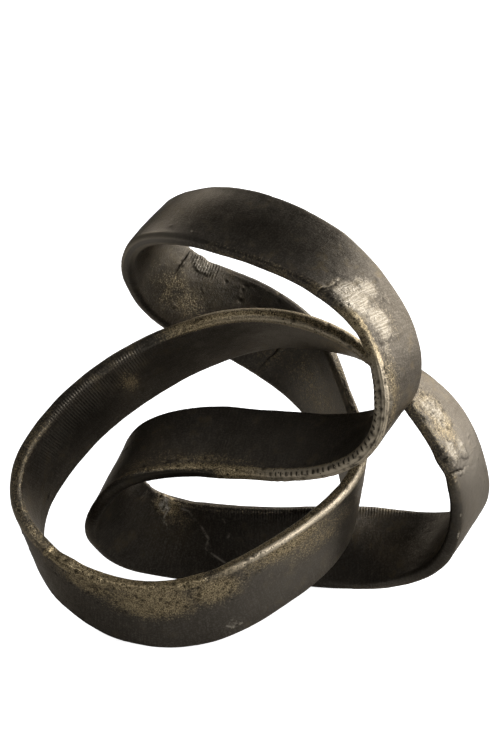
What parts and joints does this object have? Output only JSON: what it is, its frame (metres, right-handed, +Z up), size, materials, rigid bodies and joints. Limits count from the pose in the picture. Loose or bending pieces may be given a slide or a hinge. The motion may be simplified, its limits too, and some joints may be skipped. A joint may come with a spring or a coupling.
{
  "type": "knot sculpture",
  "caption": "Free-standing table ornament: a flat cast-metal band looped and half-twisted into a closed knot, welded from cast lengths with ground seams.",
  "frame": {"origin": "on the surface that the knot stands on, under the middle of its overall box", "axes": "+X along the knot's width, to the right as seen from the front; +Y from front to back; +Z up"},
  "size_m": [0.2516, 0.1504, 0.2164],
  "materials": {
    "dark_bronze": "blackened copper alloy, rubbed through to khaki brass along the edges",
    "weld_metal": "ground filler, lighter than the blackened faces"
  },
  "bodies": {
    "root": {"front_sweep": "dark_bronze", "back_strand": "dark_bronze", "top_loop": "dark_bronze", "middle_curl": "dark_bronze", "bottom_sweep": "dark_bronze", "arch": "dark_bronze", "weld_front_left": "weld_metal", "weld_back_low": "weld_metal", "weld_back_high": "weld_metal", "weld_top": "weld_metal", "weld_inner_left": "weld_metal", "weld_right": "weld_metal"}
  },
  "joints": []
}
